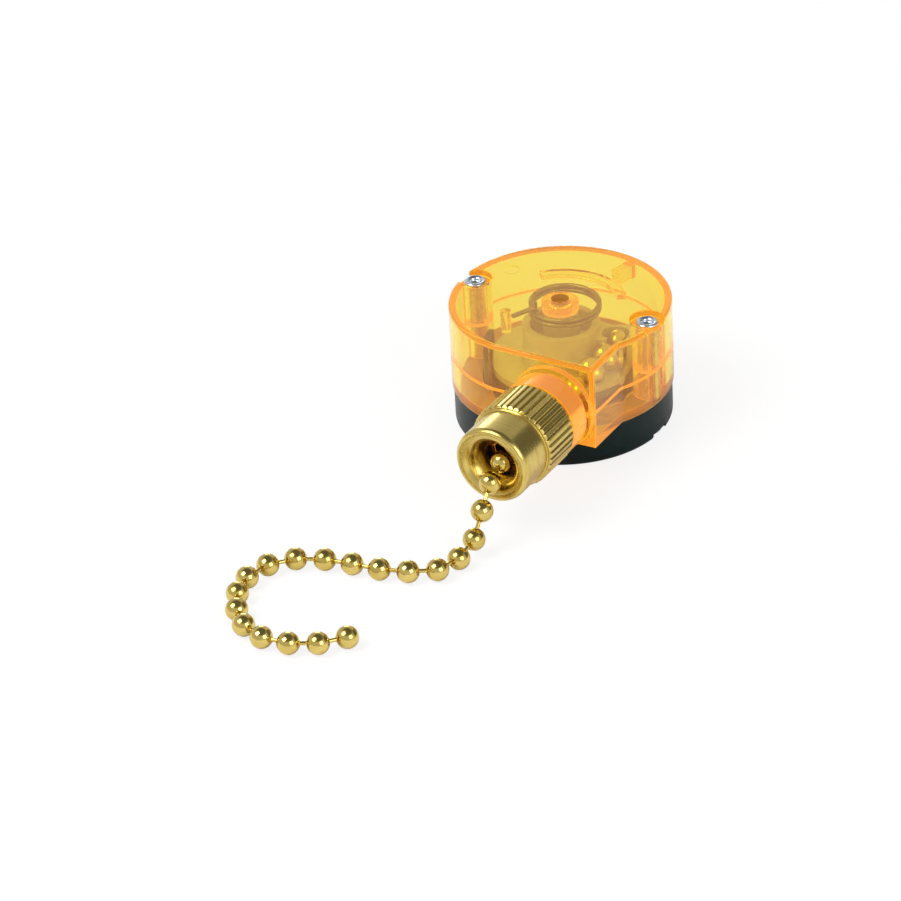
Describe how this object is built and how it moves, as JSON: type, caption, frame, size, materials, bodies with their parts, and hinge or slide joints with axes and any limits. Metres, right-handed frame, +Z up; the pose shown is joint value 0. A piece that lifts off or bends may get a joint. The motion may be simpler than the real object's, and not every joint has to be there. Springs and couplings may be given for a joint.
{
  "type": "pull chain switch",
  "caption": "Rotary switch in a clear amber case on a black base, worked by a ball chain that runs out of a knurled brass bell nut.",
  "frame": {"origin": "axis of the round case, on the underside of the base", "axes": "+Z up along the case's axis, away from the base; -Y out of the neck, the way the chain is pulled; the rivets stand on the X axis"},
  "size_m": [0.0339, 0.0894, 0.0186],
  "materials": {
    "amber_plastic": "clear amber, polished",
    "black_plastic": "moulded, satin",
    "brass": "polished",
    "contact_brass": "bright sheet",
    "zinc_steel": "zinc plated",
    "bright_steel": "ground",
    "spring_steel": "drawn wire",
    "pale_plastic": "moulded, satin",
    "grey_plastic": "moulded, satin",
    "fibre": "pressed fibre"
  },
  "bodies": {
    "housing": {"top_cover": "amber_plastic", "middle_body": "amber_plastic", "base": "black_plastic", "bell_nut": "brass", "rivets": "zinc_steel", "pivot_pin": "bright_steel", "torsion_spring": "spring_steel", "spring_washer": "spring_steel", "insulator_disc": "fibre", "terminal_common": "contact_brass", "terminal_one": "contact_brass", "terminal_two": "contact_brass", "terminal_three": "contact_brass", "wire_grips": "spring_steel"},
    "chain": {"chain_beads": "brass", "chain_links": "brass", "inner_beads": "brass", "inner_links": "brass"},
    "drive": {"drive_wheel": "pale_plastic"},
    "switching": {"rotor": "grey_plastic", "contact_ring": "contact_brass"}
  },
  "joints": [
    {"name": "chain_pull", "type": "slide", "parent": "housing", "child": "chain", "axis": [0, -1, 0], "range_m": [0, 0.0062], "stiffness_N_per_m": 400, "springref_m": -0.02},
    {"name": "drive_turn", "type": "hinge", "parent": "housing", "child": "drive", "pos_m": [0, 0, 0.0084], "axis": [0, 0, 1], "range_deg": [-45, 0], "deforming": ["torsion_spring"]},
    {"name": "rotor_turn", "type": "hinge", "parent": "housing", "child": "switching", "pos_m": [0, 0, 0.0065], "axis": [0, 0, 1], "range_deg": [-45, 0]}
  ],
  "couplings": [
    {"joint": "drive_turn", "follows": "chain_pull", "rad_per_m": -126.41},
    {"joint": "rotor_turn", "follows": "chain_pull", "rad_per_m": -126.41}
  ]
}
